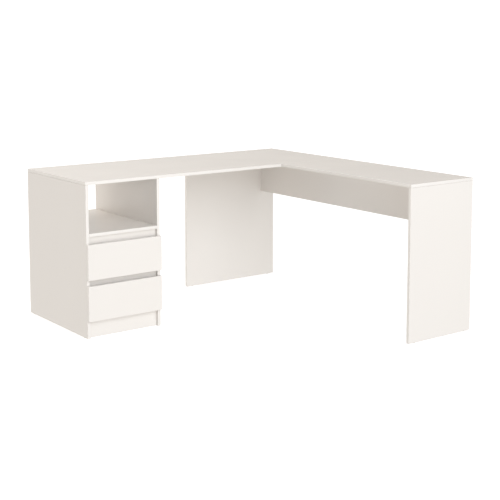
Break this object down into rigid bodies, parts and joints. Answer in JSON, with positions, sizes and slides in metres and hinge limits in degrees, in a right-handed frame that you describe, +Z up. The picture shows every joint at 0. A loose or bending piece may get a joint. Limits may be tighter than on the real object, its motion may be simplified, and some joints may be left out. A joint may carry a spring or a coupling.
{
  "type": "corner desk",
  "caption": "White L-shaped corner desk: a long main top on a pedestal with an open niche and drawers with finger gaps, and a shorter wing on board panels.",
  "frame": {"origin": "on the floor under the middle of the desk's outline: the centre of the bounding box, at its bottom", "axes": "+X along the main top from the pedestal to the wing, +Y from the user's side to the wall behind the main top, +Z up"},
  "size_m": [1.57, 1.575, 0.75],
  "materials": {
    "white_melamine": "satin white melamine facing on particle board, matching edge band",
    "drawer_foil": "matt white foil-wrapped board",
    "white_hardboard": "white lacquered hardboard",
    "zinc_plated_steel": "bright zinc plated, cold rolled",
    "cam_zinc": "die-cast zinc under a light cap",
    "glide_plastic": "white polyethylene"
  },
  "bodies": {
    "desk_frame": {"main_top": "white_melamine", "wing_top": "white_melamine", "pedestal_left_side": "white_melamine", "pedestal_right_side": "white_melamine", "niche_shelf": "white_melamine", "pedestal_bottom": "white_melamine", "pedestal_back": "white_melamine", "plinth": "white_melamine", "drawer_rail_1": "white_melamine", "drawer_rail_2": "white_melamine", "corner_panel": "white_melamine", "end_panel": "white_melamine", "wing_rail": "white_melamine", "cam_left_side_front": "cam_zinc", "cam_left_side_rear": "cam_zinc", "cam_right_side_front": "cam_zinc", "cam_right_side_rear": "cam_zinc", "cam_corner_panel_left": "cam_zinc", "cam_corner_panel_right": "cam_zinc", "cam_end_panel_left": "cam_zinc", "cam_end_panel_right": "cam_zinc", "cam_wing_rail_near_lower": "cam_zinc", "cam_wing_rail_near_upper": "cam_zinc", "cam_wing_rail_far_lower": "cam_zinc", "cam_wing_rail_far_upper": "cam_zinc", "joining_plate_1": "zinc_plated_steel", "joining_plate_2": "zinc_plated_steel", "joining_plate_3": "zinc_plated_steel", "glide_left_side_1": "glide_plastic", "glide_left_side_2": "glide_plastic", "glide_right_side_1": "glide_plastic", "glide_right_side_2": "glide_plastic", "glide_corner_panel_1": "glide_plastic", "glide_corner_panel_2": "glide_plastic", "glide_end_panel_1": "glide_plastic", "glide_end_panel_2": "glide_plastic", "slide_1_left_cabinet_member": "zinc_plated_steel", "slide_1_right_cabinet_member": "zinc_plated_steel", "slide_2_left_cabinet_member": "zinc_plated_steel", "slide_2_right_cabinet_member": "zinc_plated_steel"},
    "drawer_1": {"drawer_1_front": "white_melamine", "drawer_1_left_side": "drawer_foil", "drawer_1_right_side": "drawer_foil", "drawer_1_back": "drawer_foil", "drawer_1_floor": "white_hardboard", "slide_1_left_drawer_member": "zinc_plated_steel", "slide_1_right_drawer_member": "zinc_plated_steel"},
    "drawer_1_telescope": {"slide_1_left_middle_member": "zinc_plated_steel", "slide_1_right_middle_member": "zinc_plated_steel"},
    "drawer_2": {"drawer_2_front": "white_melamine", "drawer_2_left_side": "drawer_foil", "drawer_2_right_side": "drawer_foil", "drawer_2_back": "drawer_foil", "drawer_2_floor": "white_hardboard", "slide_2_left_drawer_member": "zinc_plated_steel", "slide_2_right_drawer_member": "zinc_plated_steel"},
    "drawer_2_telescope": {"slide_2_left_middle_member": "zinc_plated_steel", "slide_2_right_middle_member": "zinc_plated_steel"}
  },
  "joints": [
    {"name": "drawer_1_slide", "type": "slide", "parent": "desk_frame", "child": "drawer_1", "axis": [0, -1, 0], "range_m": [0, 0.45]},
    {"name": "drawer_1_telescope_slide", "type": "slide", "parent": "desk_frame", "child": "drawer_1_telescope", "axis": [0, -1, 0], "range_m": [0, 0.225]},
    {"name": "drawer_2_slide", "type": "slide", "parent": "desk_frame", "child": "drawer_2", "axis": [0, -1, 0], "range_m": [0, 0.45]},
    {"name": "drawer_2_telescope_slide", "type": "slide", "parent": "desk_frame", "child": "drawer_2_telescope", "axis": [0, -1, 0], "range_m": [0, 0.225]}
  ],
  "couplings": [
    {"joint": "drawer_1_telescope_slide", "follows": "drawer_1_slide", "ratio": 0.5},
    {"joint": "drawer_2_telescope_slide", "follows": "drawer_2_slide", "ratio": 0.5}
  ]
}
